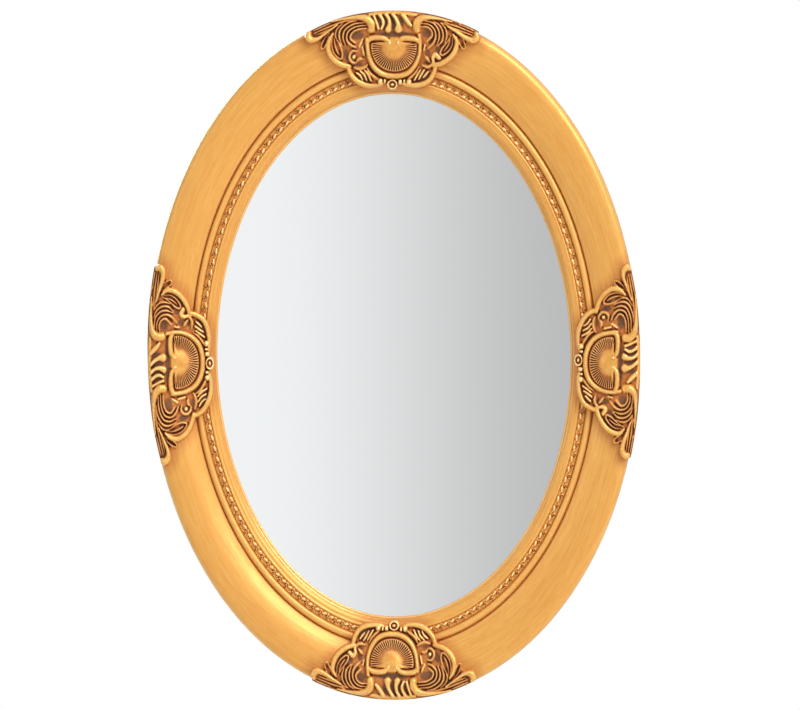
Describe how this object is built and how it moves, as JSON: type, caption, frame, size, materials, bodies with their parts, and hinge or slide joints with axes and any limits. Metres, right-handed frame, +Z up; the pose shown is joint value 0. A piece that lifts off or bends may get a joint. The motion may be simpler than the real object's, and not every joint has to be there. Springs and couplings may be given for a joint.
{
  "type": "wall mirror",
  "caption": "Oval wall mirror in a moulded gilt frame with pressed shell and scroll ornaments at the top, bottom and sides.",
  "frame": {"origin": "middle of the flat back, in the wall plane", "axes": "+Z up, +Y into the wall, the glass faces -Y"},
  "size_m": [0.5001, 0.0408, 0.7],
  "materials": {
    "gilt_wood": "brushed antique gold paint over wood, satin",
    "gilt_composition": "pressed resin composition, antique gold with dark glaze in the hollows",
    "silvered_glass": "polished silvered float glass",
    "hardboard": "raw brown hardboard",
    "plated_steel": "brass-plated steel sheet"
  },
  "bodies": {
    "root": {"frame_moulding": "gilt_wood", "ornament_top": "gilt_composition", "ornament_right": "gilt_composition", "ornament_bottom": "gilt_composition", "ornament_left": "gilt_composition", "mirror_glass": "silvered_glass", "backing_board": "hardboard", "sawtooth_hanger": "plated_steel", "hanger_nail_left": "plated_steel", "hanger_nail_right": "plated_steel"}
  },
  "joints": []
}
